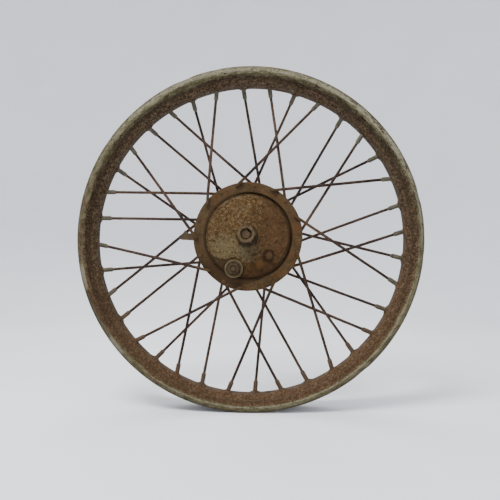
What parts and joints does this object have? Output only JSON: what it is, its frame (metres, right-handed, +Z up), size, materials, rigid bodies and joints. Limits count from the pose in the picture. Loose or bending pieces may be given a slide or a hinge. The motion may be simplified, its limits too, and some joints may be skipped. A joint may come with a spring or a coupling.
{
  "type": "spoked wheel",
  "caption": "Wire-spoked motorcycle wheel: drop-centre steel rim, crossed spokes, half-width drum hub, brake plate with shoes, cam and axle",
  "frame": {"origin": "centre of the wheel, on the axle's axis and midway between the axle nuts' outer faces", "axes": "+Y along the axle, from the brake plate to the far side; +Z up; +X to the right as seen from the brake plate's side"},
  "size_m": [0.5106, 0.153, 0.5106],
  "materials": {
    "rim": "worn olive paint over rusty steel",
    "spokes": "rusty steel wire with grey nipples",
    "hub": "rusty steel with remains of olive paint",
    "plate": "speckled khaki paint and rust",
    "dark_steel": "dull dark steel",
    "bright_steel": "greased bright steel",
    "shoe": "cast aluminium",
    "lining": "friction lining"
  },
  "bodies": {
    "axle_and_plate": {"axle": "dark_steel", "axle_nut_brake_side": "dark_steel", "axle_nut_far_side": "dark_steel", "axle_collar_brake_side": "dark_steel", "axle_collar_far_side": "dark_steel", "brake_plate": "plate", "brake_anchor_pin": "dark_steel", "bearing_brake_side_inner_ring": "bright_steel", "bearing_far_side_inner_ring": "bright_steel"},
    "wheel": {"rim": "rim", "spoke_01": "spokes", "spoke_02": "spokes", "spoke_03": "spokes", "spoke_04": "spokes", "spoke_05": "spokes", "spoke_06": "spokes", "spoke_07": "spokes", "spoke_08": "spokes", "spoke_09": "spokes", "spoke_10": "spokes", "spoke_11": "spokes", "spoke_12": "spokes", "spoke_13": "spokes", "spoke_14": "spokes", "spoke_15": "spokes", "spoke_16": "spokes", "spoke_17": "spokes", "spoke_18": "spokes", "spoke_19": "spokes", "spoke_20": "spokes", "spoke_21": "spokes", "spoke_22": "spokes", "spoke_23": "spokes", "spoke_24": "spokes", "spoke_25": "spokes", "spoke_26": "spokes", "spoke_27": "spokes", "spoke_28": "spokes", "spoke_29": "spokes", "spoke_30": "spokes", "spoke_31": "spokes", "spoke_32": "spokes", "spoke_33": "spokes", "spoke_34": "spokes", "spoke_35": "spokes", "spoke_36": "spokes", "hub_drum": "hub", "bearing_brake_side_outer_ring": "bright_steel", "bearing_far_side_outer_ring": "bright_steel"},
    "balls_brake_side": {"bearing_brake_side_balls": "bright_steel"},
    "balls_far_side": {"bearing_far_side_balls": "bright_steel"},
    "cam": {"brake_cam": "dark_steel", "brake_cam_washer": "dark_steel", "brake_cam_nut": "dark_steel"},
    "shoe_left": {"brake_shoe_left": "shoe", "brake_lining_left": "lining", "return_spring_cam_end": "bright_steel", "return_spring_anchor_end": "bright_steel"},
    "shoe_right": {"brake_shoe_right": "shoe", "brake_lining_right": "lining"}
  },
  "joints": [
    {"name": "wheel_spin", "type": "hinge", "parent": "axle_and_plate", "child": "wheel", "pos_m": [0, 0, 0], "axis": [0, 1, 0], "continuous": true},
    {"name": "balls_spin_brake_side", "type": "hinge", "parent": "axle_and_plate", "child": "balls_brake_side", "pos_m": [0, -0.0075, 0], "axis": [0, 1, 0], "continuous": true},
    {"name": "balls_spin_far_side", "type": "hinge", "parent": "axle_and_plate", "child": "balls_far_side", "pos_m": [0, 0.0285, 0], "axis": [0, 1, 0], "continuous": true},
    {"name": "cam_turn", "type": "hinge", "parent": "axle_and_plate", "child": "cam", "pos_m": [-0.01963, -0.0185, -0.04739], "axis": [0, 1, 0], "range_deg": [0, 15], "stiffness_Nm_per_rad": 2, "springref_deg": -5.73},
    {"name": "shoe_left_swing", "type": "hinge", "parent": "axle_and_plate", "child": "shoe_left", "pos_m": [0.01913, -0.0185, 0.04619], "axis": [0, 1, 0], "range_deg": [0, 0.825]},
    {"name": "shoe_right_swing", "type": "hinge", "parent": "axle_and_plate", "child": "shoe_right", "pos_m": [0.01913, -0.0185, 0.04619], "axis": [0, 1, 0], "range_deg": [-0.825, 0], "deforming": ["return_spring_cam_end", "return_spring_anchor_end"]}
  ],
  "couplings": [
    {"joint": "balls_spin_brake_side", "follows": "wheel_spin", "ratio": 0.608},
    {"joint": "balls_spin_far_side", "follows": "wheel_spin", "ratio": 0.608},
    {"joint": "shoe_left_swing", "follows": "cam_turn", "ratio": 0.055},
    {"joint": "shoe_right_swing", "follows": "cam_turn", "ratio": -0.055}
  ]
}
